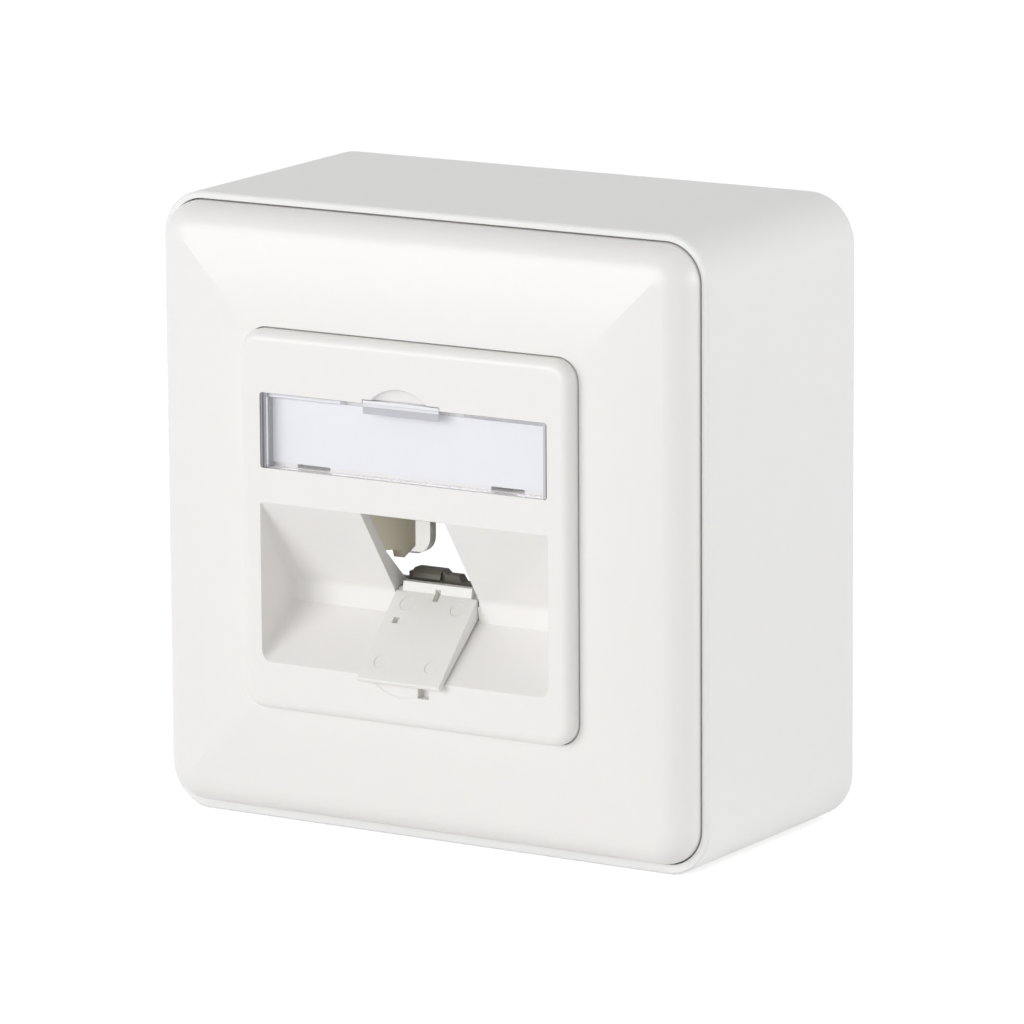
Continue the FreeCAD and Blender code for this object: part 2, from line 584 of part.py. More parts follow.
def make_jack_holder():
    """Seat for one jack module behind the port: two hooked cheeks, a bridge and two ears.

    It is held between the back of the plate's slope and the front of the support frame."""
    def module_top(depth):
        """Point just above the path of the module's upper side."""
        return depth, RECESS_TOP + (depth - FRONT) * SLOPE_IN[1] / SLOPE_IN[0] + 0.3

    front = FRONT + PLATE_WALL + 0.05
    rear = HOLDER_REAR
    stop_rear = rear + HOLDER_STOP
    neck = rear - 0.5
    cheek = [slope_back_at(front), module_top(front), module_top(neck), (neck, HOLDER_TOP),
             (rear, HOLDER_TOP), (rear, -4.1), (rear - 2.7, -5.2), (rear - 3.1, -4.0),
             along(SLOPE_BACK, (SLOPE_DOWN, 8.25))]
    outer = PORT_HALF + HOLDER_WALL
    body = block((-outer, outer), (rear, stop_rear), (HOLDER_TOP - HOLDER_STOP, HOLDER_TOP))
    for side in SIDES:
        body = body.fuse(prism_x(cheek, *outward(side, PORT_HALF, outer)))
        stop_edge = PORT_HALF - 2.3
        rounding = STOP_ROUNDING
        stop_z = STOP_BOTTOM + rounding
        body = body.fuse(block(outward(side, stop_edge, outer), (rear, stop_rear), (stop_z, HOLDER_TOP)))
        body = body.fuse(rod_y(rounding, rear, stop_rear, side * (stop_edge + rounding), stop_z))
        body = body.fuse(block(outward(side, stop_edge + rounding, outer), (rear, stop_rear),
                               (STOP_BOTTOM, stop_z)))
        ear_depth = (SUPPORT_DEPTH - 1.2, SUPPORT_DEPTH)
        body = body.fuse(block(outward(side, outer - 0.4, outer + 4.0), ear_depth, (7.6, 12.6)))
    notch_depth = (SUPPORT_DEPTH, SUPPORT_BACK + 0.1)
    frame_notch = block((-outer, outer), notch_depth, (SUPPORT_OPENING[2] - 0.1, 13.0))
    return body.cut(frame_notch).removeSplitter()


def make_jack_catch():
    """Dark latch bar across the foot of the module's seat, with a stepped upper edge and a nose."""
    front, back, bottom = CATCH
    end = PORT_HALF + CATCH_SHOULDER
    shoulder = PORT_HALF - 0.1
    top = -6.5
    outline = [(-end, bottom), (-end, -8.1), (-shoulder, -8.1), (-shoulder, -7.1), (-5.9, -7.1),
               (-5.4, top), (-1.2, top), (-0.6, -7.0), (1.2, -7.0), (1.8, -7.85), (shoulder, -7.95),
               (shoulder, -8.1), (end, -8.1), (end, bottom)]
    body = prism_y(outline, front, back)
    nose = [(front + 0.1, top), (front + 0.1, -7.9), (front - 0.65, -7.75), (front - 0.45, -7.1),
            (front, top)]
    return body.fuse(prism_x(nose, -5.4, -1.2)).removeSplitter()


def screw(radii, head, length, under_head, x, z):
    """Pan head screw along Y, with its head towards the front."""
    shank_radius, head_radius = radii
    body = rod_y(head_radius, under_head - head, under_head, x, z)
    return body.fuse(rod_y(shank_radius, under_head - head, under_head + length, x, z))


def make_plate_screw():
    """Slotted screw that clamps the plate and the cover frame to the support frame."""
    under_head = LABEL_FLOOR + HEAD_SEAT
    z = PLATE_SCREW_Z
    body = screw(PLATE_SCREW, 1.5, 8.0, under_head, 0.0, z)
    return body.cut(block((-0.4, 0.4), (under_head - 2, under_head - 0.7), (z - 4, z + 4)))


def make_device_screw(side):
    """Cross slot screw that holds the support frame to a post of the box."""
    x = side * FIXING_PITCH / 2
    body = screw(DEVICE_SCREW, 1.7, 15.0, SUPPORT_DEPTH, x, 0.0)
    slot_depth = (SUPPORT_DEPTH - 2, SUPPORT_DEPTH - 0.9)
    body = body.cut(block((x - 4, x + 4), slot_depth, (-0.45, 0.45)))
    return body.cut(block((x - 0.45, x + 0.45), slot_depth, (-4, 4)))


def main():
    pieces = {
        "box_housing": make_box_housing(),
        "cover_frame": make_cover_frame(),
        "centre_plate": make_centre_plate(),
        "dust_flap": make_dust_flap(),
        "label_window": make_label_window(),
        "label_strip": make_label_strip(),
        "support_frame": make_support_frame(),
        "jack_holder": make_jack_holder(),
        "jack_catch": make_jack_catch(),
        "plate_screw": make_plate_screw(),
        "device_screw_left": make_device_screw(-1),
        "device_screw_right": make_device_screw(1),
    }
    os.makedirs("parts", exist_ok=True)
    for name, shape in pieces.items():
        shape.exportStep("parts/" + name + ".step")
        print(name, shape.isValid(), len(shape.Solids), round(shape.Volume, 1))


main()
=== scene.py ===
import math

import bmesh
import bpy
from bpy.props import FloatProperty, FloatVectorProperty, PointerProperty
from mathutils import Matrix, Vector
from mathutils.kdtree import KDTree


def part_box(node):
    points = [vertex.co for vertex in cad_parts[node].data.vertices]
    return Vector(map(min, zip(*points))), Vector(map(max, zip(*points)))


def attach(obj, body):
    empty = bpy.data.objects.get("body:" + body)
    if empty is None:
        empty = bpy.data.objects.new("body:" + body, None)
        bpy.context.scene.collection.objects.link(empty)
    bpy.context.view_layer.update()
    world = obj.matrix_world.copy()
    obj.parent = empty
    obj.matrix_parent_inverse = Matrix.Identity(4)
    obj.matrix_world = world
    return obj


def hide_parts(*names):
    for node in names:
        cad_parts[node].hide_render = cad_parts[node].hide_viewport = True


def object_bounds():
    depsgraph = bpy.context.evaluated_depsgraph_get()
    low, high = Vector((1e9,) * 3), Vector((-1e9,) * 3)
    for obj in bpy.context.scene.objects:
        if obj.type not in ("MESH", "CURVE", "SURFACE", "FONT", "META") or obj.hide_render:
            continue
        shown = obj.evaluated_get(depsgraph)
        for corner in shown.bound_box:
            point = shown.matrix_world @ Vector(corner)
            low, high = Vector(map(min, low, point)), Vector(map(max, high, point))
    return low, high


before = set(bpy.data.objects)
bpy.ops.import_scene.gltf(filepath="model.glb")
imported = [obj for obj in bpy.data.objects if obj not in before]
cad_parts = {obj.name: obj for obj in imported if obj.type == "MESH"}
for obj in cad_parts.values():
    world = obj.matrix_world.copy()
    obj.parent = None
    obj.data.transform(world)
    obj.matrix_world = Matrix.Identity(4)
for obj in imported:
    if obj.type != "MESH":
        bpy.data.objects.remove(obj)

# Surface mount outlet box: gives every moulded, stamped and printed piece its finish, hollows the
# finger scoops of the centre plate, sinks the ejector marks of the flap, makes the clear label window,
# cuts the threads of the screws, and sets up the studio.
# Lengths are in metres, in the frame of the solids: +Z up, the wall at Y = 0, the front at -Y.

bl_info = {
    "name": "Surface Mount Outlet Box",
    "version": (1, 0, 0),
    "blender": (4, 5, 0),
    "location": "View3D > Sidebar > Outlet",
    "description": "Finishes and studio for a surface mount outlet box with one angled port",
    "category": "Object",
}

CAD_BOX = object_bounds()
MM = 0.001
HAIR = 0.01 * MM                            # gap between two walls, and tolerance of a place

# Meshes and shading of the pieces that are made here
WELD = 0.002 * MM                           # corners of loose triangles closer than this are joined
FLAT = math.radians(1)                      # faces that turn by less than this are one flat face
CREASE = math.radians(28)                   # edges that turn by more than this stay crisp
SAME_CORNER = 0.005 * MM                    # corners of two meshes that lie closer than this are one
SAME_WAY = 0.998                            # cosine of the angle within which two faces lie alike

# Centre plate
SCOOP_GAP = 0.1 * MM                        # the upper scoop starts this far above the label window
SCOOP_REACH = (6.2 * MM, 1.0 * MM, 1.8 * MM)    # half width, depth and height that hold all of it
SCOOP_STEP = 0.5 * MM                       # the rear corners of its end wall lie deeper than this
SCOOP_ROWS = 8                              # rows of faces in its hollow floor
LOW_SCOOP_SOLID = 0.3 * MM                  # depth that the solid gives the scoop under the flap
LOW_SCOOP_REACH = (6.3 * MM, -21.3 * MM, -18 * MM)      # half width, lowest and highest Z round it
RECESS_FOOT = -18.66 * MM                   # Z of the slanted recess's foot, where that scoop starts

# Dust flap: its four ejector marks
MARK_ROWS = (1.9 * MM, 10.9 * MM)           # from the hinge end to each row
MARK_SPACING = 7.7 * MM                     # between the two marks of a row

# Label window: a pane, two end walls, a rim along the top, and a finger tab over a groove drawn grey as
# painted shade
PANE = 1.0 * MM                             # thickness of the pane
LEFT_WALL, RIGHT_WALL = 0.75 * MM, 0.4 * MM
LEFT_RIM, RIGHT_RIM = 0.6 * MM, 0.4 * MM    # heights of the rim on both sides of its step
RIM_ENDS = (-9.6 * MM, 9.0 * MM)            # X where the two stretches of the rim stop
TAB_X = (-5.85 * MM, 5.65 * MM)
TAB_THICKNESS, TAB_RISE = 0.9 * MM, 0.43 * MM
# The groove is a grey strip in the skin: painted shade of its slanted face.
GROOVE = (1.3 * MM, 0.4 * MM)               # from the pane's top down to the groove's foot and top
FROSTING = 0.05 * MM                        # thickness of the frosted skin
WINDOW_EDGE = 0.05 * MM                     # width of its softened edges

# Jack holder and screws
CHEEK_REAR = 10.9 * MM                      # from the plate's front to the rear of the holder's cheeks
RIDGE_SHARE = 0.2                           # half width of a thread's ridge, as a share of its pitch
RIDGE_BITE = 0.3                            # share of that half width that sinks into the shank

# Studio
FLOOR_REACH = 3.0                           # from the middle of the floor to its edges
FLOOR_GLOW = 0.52                           # light added to what is seen of the floor
AMBIENT = 0.5                               # strength of the light from all round
VIEW_SHIFT = (12.880, 2.787)                # mm that the view's middle is right of and above the frame's
WHITE = (1.0, 1.0, 1.0, 1.0)
POLYCARBONATE_IOR = 1.585


# ---- colour and node helpers --------------------------------------------------------------------
def linear(hex_colour):
    """sRGB hex colour as the linear RGBA that shaders and colour properties expect."""
    channels = [int(hex_colour[i:i + 2], 16) / 255 for i in (1, 3, 5)]
    return tuple(c / 12.92 if c <= 0.04045 else ((c + 0.055) / 1.055) ** 2.4 for c in channels) + (1.0,)


def add_node(tree, kind, inputs=None, **settings):
    """Adds a node with its settings; its inputs are values, or outputs to link from."""
    node = tree.nodes.new(kind)
    for name, value in settings.items():
        setattr(node, name, value)
    for name, value in (inputs or {}).items():
        if isinstance(value, bpy.types.NodeSocket):
            tree.links.new(value, node.inputs[name])
        else:
            node.inputs[name].default_value = value
    return node


def new_material(name):
    material = bpy.data.materials.new(name)
    material.use_nodes = True
    material.node_tree.nodes.clear()
    return material, material.node_tree


# ---- properties ---------------------------------------------------------------------------------
def colour_property(name, description, hex_colour):
    return FloatVectorProperty(name=name, description=description, subtype="COLOR", size=4,
                               min=0.0, max=1.0, default=linear(hex_colour))


def length_property(name, description, default):
    return FloatProperty(name=name, description=description, default=default, min=0.0,
                         unit="LENGTH", precision=5)


class OutletColours(bpy.types.PropertyGroup):
    housing: colour_property("Housing", "Near neutral white of the wall box", "#f3f3f1")
    cover: colour_property("Cover", "Warm white of the cover frame and the centre plate", "#f3f1ef")
    flap: colour_property("Flap", "Warm white of the dust flap", "#f1f0ec")
    # Holder and stop are one moulding in two colours. The warmer, darker cream of the cheeks is partly the
    # plastic's own cream and partly painted shade. The lighter stop colour is painted light.
    holder: colour_property("Holder", "Natural white of the jack holder", "#efe8d2")
    painted_lit_stop: colour_property("Stop painted lit", "Natural white where light comes through the holder", "#f5f3ed")
    catch: colour_property("Catch", "Dark grey of the catch", "#625f54")
    paper: colour_property("Label paper", "Bluish white of the blank label", "#f0f1f3")
    window_tab: colour_property("Window tab", "Near white of the window's frosted finger tab", "#f3f3f7")
    # The window's grey is painted shade: it stands for what the clear rim, right wall and groove show.
    window_painted_grey: colour_property("Window edge", "Grey that the clear window shows at its edges", "#c9c7ce")
    # The end wall's grey and its dark core are painted reflection and shade of the clear plastic.
    window_end_painted_grey: colour_property("Window end", "Grey of the window's left end wall", "#a09fa5")
    window_painted_dark_core: colour_property("Window core", "Dark core of the window's left end wall", "#454449")
    zinc: colour_property("Zinc", "Grey of zinc plated steel", "#c4c5c1")
    floor: colour_property("Floor", "Colour of the studio floor", "#f4f4f4")


class OutletSizes(bpy.types.PropertyGroup):
    edge: length_property("Moulded edge", "Rounding of the sharp moulded edges", 0.12 * MM)
    grain: length_property("Mould grain", "Spacing of the eroded grain", 0.35 * MM)
    grain_depth: length_property("Grain depth", "Height of the eroded grain", 0.004 * MM)
    flow: length_property("Flow variation", "Size of the faint shade changes in a moulding", 22 * MM)
    scoop_depth: length_property("Scoop depth", "Depth of the finger scoop at the window", 0.75 * MM)
    low_scoop_depth: length_property("Low scoop depth", "Depth of the scoop under the flap", 0.05 * MM)
    mark_radius: length_property("Ejector mark", "Radius of the ejector marks on the flap", 0.95 * MM)
    mark_depth: length_property("Ejector mark depth", "How far the marks are sunk", 0.05 * MM)
    thread_pitch: length_property("Thread pitch", "Pitch of the plate screw", 0.6 * MM)
    coarse_pitch: length_property("Coarse pitch", "Pitch of the self-cutting device screws", 1.1 * MM)
    camera_distance: length_property("Camera distance", "Camera to the middle of the view", 0.92576)
    lens: FloatProperty(name="Lens", description="Focal length on a 36 mm sensor", default=253.97, min=20.0)
    azimuth: FloatProperty(name="Azimuth", description="Camera angle round the outlet", subtype="ANGLE",
                           default=math.radians(31.795))
    elevation: FloatProperty(name="Elevation", description="Camera angle above the horizon", subtype="ANGLE",
                             default=math.radians(11.4615))
    roll: FloatProperty(name="Roll", description="Camera tilt about its own axis", subtype="ANGLE",
                        default=math.radians(0.357))


# ---- materials ----------------------------------------------------------------------------------
def moulded_plastic(name, colour, roughness=0.42, ior=1.53, translucency=0.15, see_through=0.0):
    """Injection moulded ABS, polycarbonate or polyamide. An even colour with a faint flow variation, a
    fine spark eroded grain that breaks up the highlights, soft edges, and light that enters the wall."""
    sizes = bpy.context.scene.outlet_sizes
    light_depth = 0.8 * MM
    material, tree = new_material(name)
    place = add_node(tree, "ShaderNodeTexCoord").outputs["Object"]
    flow = add_node(tree, "ShaderNodeTexNoise", {"Vector": place, "Scale": 1 / sizes.flow, "Detail": 2.0})
    tint = add_node(tree, "ShaderNodeMapRange", {"Value": flow.outputs["Fac"], "To Min": 0.98, "To Max": 1.0})
    shade = add_node(tree, "ShaderNodeVectorMath", {0: tuple(colour)[:3], "Scale": tint.outputs[0]},
                     operation="SCALE")
    grain = add_node(tree, "ShaderNodeTexNoise", {"Vector": place, "Scale": 1 / sizes.grain, "Detail": 3.0})
    gloss = add_node(tree, "ShaderNodeMapRange", {"Value": grain.outputs["Fac"], "To Min": roughness - 0.05,
                                                  "To Max": roughness + 0.05})
    soft_edge = add_node(tree, "ShaderNodeBevel", {"Radius": sizes.edge}, samples=4)
    relief = add_node(tree, "ShaderNodeBump", {"Height": grain.outputs["Fac"], "Strength": 1.0,
                                               "Distance": sizes.grain_depth, "Normal": soft_edge.outputs[0]})
    shader = add_node(tree, "ShaderNodeBsdfPrincipled", {
        "Base Color": shade.outputs[0], "Roughness": gloss.outputs[0], "Normal": relief.outputs[0],
        "IOR": ior, "Transmission Weight": see_through, "Subsurface Weight": translucency,
        "Subsurface Radius": (1.0, 0.8, 0.55), "Subsurface Scale": light_depth})
    add_node(tree, "ShaderNodeOutputMaterial", {"Surface": shader.outputs[0]})
    return material


def clear_polycarbonate():
    """Clear moulded polycarbonate: bends and mirrors what lies round it, and lets the lamps through
    to the paper behind its pane."""
    material, tree = new_material("clear_polycarbonate")
    shader = add_node(tree, "ShaderNodeBsdfPrincipled", {
        "Base Color": linear("#fdfdfe"), "Roughness": 0.03, "IOR": POLYCARBONATE_IOR,
        "Transmission Weight": 1.0})
    through = add_node(tree, "ShaderNodeBsdfTransparent", {"Color": linear("#fcfcfd")})
    path = add_node(tree, "ShaderNodeLightPath")
    unseen = add_node(tree, "ShaderNodeMath", {0: path.outputs["Is Shadow Ray"],
                                               1: path.outputs["Is Diffuse Ray"]}, operation="MAXIMUM")
    mix = add_node(tree, "ShaderNodeMixShader", {0: unseen.outputs[0], 1: shader.outputs[0],
                                                 2: through.outputs[0]})
    add_node(tree, "ShaderNodeOutputMaterial", {"Surface": mix.outputs[0]})
    return material


def painted_dark_end_wall(start, end):
    """End wall of a clear moulding, seen along its inside: drawn opaque, grey with a painted dark core that
    wanders a little along the height, in place of the shade and dark reflections of the clear wall."""
    colours = bpy.context.scene.outlet_colours
    streak_size = 2 * MM
    material, tree = new_material("painted_dark_end_wall")
    place = add_node(tree, "ShaderNodeTexCoord").outputs["Object"]
    across = add_node(tree, "ShaderNodeSeparateXYZ", {"Vector": place}).outputs["X"]
    streak_place = add_node(tree, "ShaderNodeMapping", {"Vector": place, "Scale": (1.0, 1.0, 0.3)})
    streaks = add_node(tree, "ShaderNodeTexNoise", {"Vector": streak_place.outputs[0],
                                                    "Scale": 1 / streak_size, "Detail": 2.0})
    inward = add_node(tree, "ShaderNodeMapRange", {"Value": across, "From Min": start, "From Max": end})
    # Painted shade: grey at both faces of the wall and a painted dark core between them.
    wavy = add_node(tree, "ShaderNodeMath", {0: streaks.outputs["Fac"], 1: 0.2, 2: inward.outputs[0]},
                    operation="MULTIPLY_ADD")
    ramp = add_node(tree, "ShaderNodeValToRGB", {"Fac": wavy.outputs[0]})
    first, last = ramp.color_ramp.elements
    first.position, first.color = 0.2, colours.window_end_painted_grey
    last.position, last.color = 0.95, colours.window_end_painted_grey
    ramp.color_ramp.elements.new(0.5).color = colours.window_painted_dark_core
    shader = add_node(tree, "ShaderNodeBsdfPrincipled", {
        "Base Color": ramp.outputs["Color"], "Roughness": 0.25, "IOR": POLYCARBONATE_IOR})
    add_node(tree, "ShaderNodeOutputMaterial", {"Surface": shader.outputs[0]})
    return material


def coated_paper():
    """Smooth bleached paper: bluish white, matt, with a faint cloud of its fibres, and a faint bluish
    emission for its whitener that glows the same in light and in shade: painted light."""
    colours = bpy.context.scene.outlet_colours
    cloud_size = 0.4 * MM
    whitener_and_painted_glow = 0.06
    material, tree = new_material("coated_paper")
    place = add_node(tree, "ShaderNodeTexCoord").outputs["Object"]
    fibres = add_node(tree, "ShaderNodeTexNoise", {"Vector": place, "Scale": 1 / cloud_size, "Detail": 4.0})
    tint = add_node(tree, "ShaderNodeMapRange", {"Value": fibres.outputs["Fac"], "To Min": 0.975,
                                                 "To Max": 1.0})
    shade = add_node(tree, "ShaderNodeVectorMath", {0: tuple(colours.paper)[:3], "Scale": tint.outputs[0]},
                     operation="SCALE")
    # The emission is painted light: it brightens the paper wherever it lies.
    shader = add_node(tree, "ShaderNodeBsdfPrincipled", {
        "Base Color": shade.outputs[0], "Roughness": 0.75, "IOR": 1.5,
        "Emission Color": linear("#e9eeff"), "Emission Strength": whitener_and_painted_glow})
    add_node(tree, "ShaderNodeOutputMaterial", {"Surface": shader.outputs[0]})
    return material


def zinc_plated_steel(name, roughness=0.38):
    """Cold rolled steel with bright zinc plating: grey metal with fine rolling lines and soft spangle."""
    colours = bpy.context.scene.outlet_colours
    line_size, spangle_size, line_depth = 6 * MM, 3 * MM, 0.003 * MM
    material, tree = new_material(name)
    place = add_node(tree, "ShaderNodeTexCoord").outputs["Object"]
    lines_place = add_node(tree, "ShaderNodeMapping", {"Vector": place, "Scale": (1.0, 1.0, 24.0)})
    lines = add_node(tree, "ShaderNodeTexNoise", {"Vector": lines_place.outputs[0],
                                                  "Scale": 1 / line_size, "Detail": 4.0})
    spangle = add_node(tree, "ShaderNodeTexNoise", {"Vector": place, "Scale": 1 / spangle_size,
                                                    "Detail": 1.0})
    gloss = add_node(tree, "ShaderNodeMapRange", {"Value": lines.outputs["Fac"], "To Min": roughness - 0.1,
                                                  "To Max": roughness + 0.12})
    tint = add_node(tree, "ShaderNodeMapRange", {"Value": spangle.outputs["Fac"], "To Min": 0.86,
                                                 "To Max": 1.0})
    shade = add_node(tree, "ShaderNodeVectorMath", {0: tuple(colours.zinc)[:3], "Scale": tint.outputs[0]},
                     operation="SCALE")
    relief = add_node(tree, "ShaderNodeBump", {"Height": lines.outputs["Fac"], "Strength": 0.6,
                                               "Distance": line_depth})
    shader = add_node(tree, "ShaderNodeBsdfPrincipled", {
        "Base Color": shade.outputs[0], "Metallic": 1.0, "Roughness": gloss.outputs[0],
        "Normal": relief.outputs[0]})
    add_node(tree, "ShaderNodeOutputMaterial", {"Surface": shader.outputs[0]})
    return material


# ---- mesh helpers -------------------------------------------------------------------------------
def give_material(piece, material):
    piece.data.materials.clear()
    piece.data.materials.append(material)


def merged_copy(node):
    """The solid's mesh with its loose triangles joined."""
    mesh = bmesh.new()
    mesh.from_mesh(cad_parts[node].data)
    bmesh.ops.remove_doubles(mesh, verts=mesh.verts, dist=WELD)
    for face in mesh.faces:
        face.smooth = True
    return mesh


def as_data(name, mesh):
    data = bpy.data.meshes.new(name)
    mesh.to_mesh(data)
    mesh.free()
    return data


def finish_piece(name, data, materials, node, body):
    """Puts a finished mesh in the scene in place of a solid of the frame."""
    piece = bpy.data.objects.new(name, data)
    bpy.context.scene.collection.objects.link(piece)
    if data.materials:      # clearing an empty list would still put every face on the first material
        data.materials.clear()
    for material in materials:
        data.materials.append(material)
    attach(piece, body)
    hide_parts(node)
    return piece


def exact_normals(piece, node):
    """Rounded stretches shade as the solid's do: every corner that the solid has too takes its normal.
    New faces shade smoothly, with crisp edges above the crease."""
    data = piece.data
    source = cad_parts[node].data
    owner = [face.normal.copy() for face in source.polygons for _ in face.loop_indices]
    corners = KDTree(len(source.loops))
    for index, loop in enumerate(source.loops):
        corners.insert(source.vertices[loop.vertex_index].co, index)
    corners.balance()
    faces_at = {}
    for face in data.polygons:
        for vert in face.vertices:
            faces_at.setdefault(vert, []).append(face.normal.copy())
    normals = []
    for face in data.polygons:
        for vert in face.vertices:
            close = [index for _, index, _ in corners.find_range(data.vertices[vert].co, SAME_CORNER)]
            best = max(close, key=lambda index: owner[index].dot(face.normal), default=None)
            if best is not None and owner[best].dot(face.normal) > SAME_WAY:
                normals.append(source.corner_normals[best].vector.copy())
            else:
                fan = [normal for normal in faces_at[vert] if normal.dot(face.normal) > math.cos(CREASE)]
                normals.append(sum(fan, Vector()).normalized())
    data.normals_split_custom_set(normals)


def add_slab(mesh, x_range, y_range, z_range, material_index):
    """Closed block between six planes, added to a mesh."""
    corners = [mesh.verts.new((x, y, z)) for x in x_range for y in y_range for z in z_range]
    # The four corners of each side, in order round it.
    sides = ((0, 1, 3, 2), (4, 6, 7, 5), (0, 4, 5, 1), (2, 3, 7, 6), (0, 2, 6, 4), (1, 5, 7, 3))
    for side in sides:
        mesh.faces.new([corners[index] for index in side]).material_index = material_index


# ---- geometry node trees ------------------------------------------------------------------------
def new_tree(name, sizes):
    """Geometry tree with a mesh going in and out, and the named sizes as inputs."""
    tree = bpy.data.node_groups.new(name, "GeometryNodeTree")
    tree.interface.new_socket("Mesh", in_out="INPUT", socket_type="NodeSocketGeometry")
    for size, kind in sizes.items():
        tree.interface.new_socket(size, in_out="INPUT", socket_type="NodeSocket" + kind)
    tree.interface.new_socket("Mesh", in_out="OUTPUT", socket_type="NodeSocketGeometry")
    return tree, add_node(tree, "NodeGroupInput").outputs


def end_tree(tree, geometry, material):
    """Every tree ends in real geometry with its material set."""
    real = add_node(tree, "GeometryNodeRealizeInstances", {0: geometry})
    finished = add_node(tree, "GeometryNodeSetMaterial", {"Geometry": real.outputs[0], "Material": material})
    add_node(tree, "NodeGroupOutput", {0: finished.outputs[0]})


def run_tree(name, data, tree, values):
    """Runs a tree on a mesh, with these values on its named inputs, and returns a plain mesh."""
    carrier = bpy.data.objects.new(name + "_carrier", data)
    bpy.context.scene.collection.objects.link(carrier)
    modifier = carrier.modifiers.new("tree", "NODES")
    modifier.node_group = tree
    for item in tree.interface.items_tree:
        if item.in_out == "INPUT" and item.name in values:
            modifier[item.identifier] = values[item.name]
    evaluated = carrier.evaluated_get(bpy.context.evaluated_depsgraph_get())
    result = bpy.data.meshes.new_from_object(evaluated)
    result.name = name
    bpy.data.objects.remove(carrier)
    return result


def ejector_mark_tree(material):
    """Four round marks of the ejector pins, sunk into a flat face."""
    tree, given = new_tree("ejector_marks", {
        "Across": "Float", "Along": "Float", "Radius": "Float", "Depth": "Float",
        "Place": "Vector", "Tilt": "Vector"})
    grid = add_node(tree, "GeometryNodeMeshGrid", {"Size X": given["Across"], "Size Y": given["Along"],
                                                   "Vertices X": 2, "Vertices Y": 2})
    height = add_node(tree, "ShaderNodeMath", {0: given["Depth"], 1: 2.0}, operation="MULTIPLY")
    pin = add_node(tree, "GeometryNodeMeshCylinder", {"Vertices": 40, "Radius": given["Radius"],
                                                      "Depth": height.outputs[0]})
    pins = add_node(tree, "GeometryNodeInstanceOnPoints", {"Points": grid.outputs[0],
                                                           "Instance": pin.outputs[0]})
    placed = add_node(tree, "GeometryNodeTransform", {
        "Geometry": pins.outputs[0], "Translation": given["Place"], "Rotation": given["Tilt"]})
    solid_pins = add_node(tree, "GeometryNodeRealizeInstances", {0: placed.outputs[0]})
    cut = add_node(tree, "GeometryNodeMeshBoolean", {
        "Mesh 1": given["Mesh"], "Mesh 2": solid_pins.outputs[0]}, operation="DIFFERENCE", solver="EXACT")
    end_tree(tree, cut.outputs[0], material)
    return tree


def thread_tree(material):
    """A rolled thread: a sharp ridge that winds round the shank of a screw."""
    tree, given = new_tree("rolled_thread", {
        "Pitch": "Float", "Length": "Float", "Core radius": "Float", "Ridge": "Float",
        "Start": "Vector", "Turn": "Vector"})
    turns = add_node(tree, "ShaderNodeMath", {0: given["Length"], 1: given["Pitch"]}, operation="DIVIDE")
    winding = add_node(tree, "GeometryNodeCurveSpiral", {
        "Resolution": 20, "Rotations": turns.outputs[0], "Start Radius": given["Core radius"],
        "End Radius": given["Core radius"], "Height": given["Length"]})
    section = add_node(tree, "GeometryNodeCurvePrimitiveCircle", {"Resolution": 4, "Radius": given["Ridge"]})
    ridge = add_node(tree, "GeometryNodeCurveToMesh", {
        "Curve": winding.outputs[0], "Profile Curve": section.outputs[0], "Fill Caps": True})
    placed = add_node(tree, "GeometryNodeTransform", {
        "Geometry": ridge.outputs[0], "Translation": given["Start"], "Rotation": given["Turn"]})
    whole = add_node(tree, "GeometryNodeJoinGeometry")
    for part in (given["Mesh"], placed.outputs[0]):
        tree.links.new(part, whole.inputs[0])
    end_tree(tree, whole.outputs[0], material)
    return tree


# ---- operators ----------------------------------------------------------------------------------
class OUTLET_OT_housing(bpy.types.Operator):
    """Finish the wall box"""
    bl_idname = "outlet.housing"
    bl_label = "Wall box"

    def execute(self, context):
        plastic = moulded_plastic("moulded_abs_housing", context.scene.outlet_colours.housing, roughness=0.40)
        give_material(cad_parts["box_housing"], plastic)
        return {"FINISHED"}


class OUTLET_OT_cover(bpy.types.Operator):
    """Finish the cover frame"""
    bl_idname = "outlet.cover"
    bl_label = "Cover frame"

    def execute(self, context):
        colour = context.scene.outlet_colours.cover
        plastic = moulded_plastic("moulded_polycarbonate_cover", colour, roughness=0.36, ior=1.56)
        give_material(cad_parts["cover_frame"], plastic)
        return {"FINISHED"}


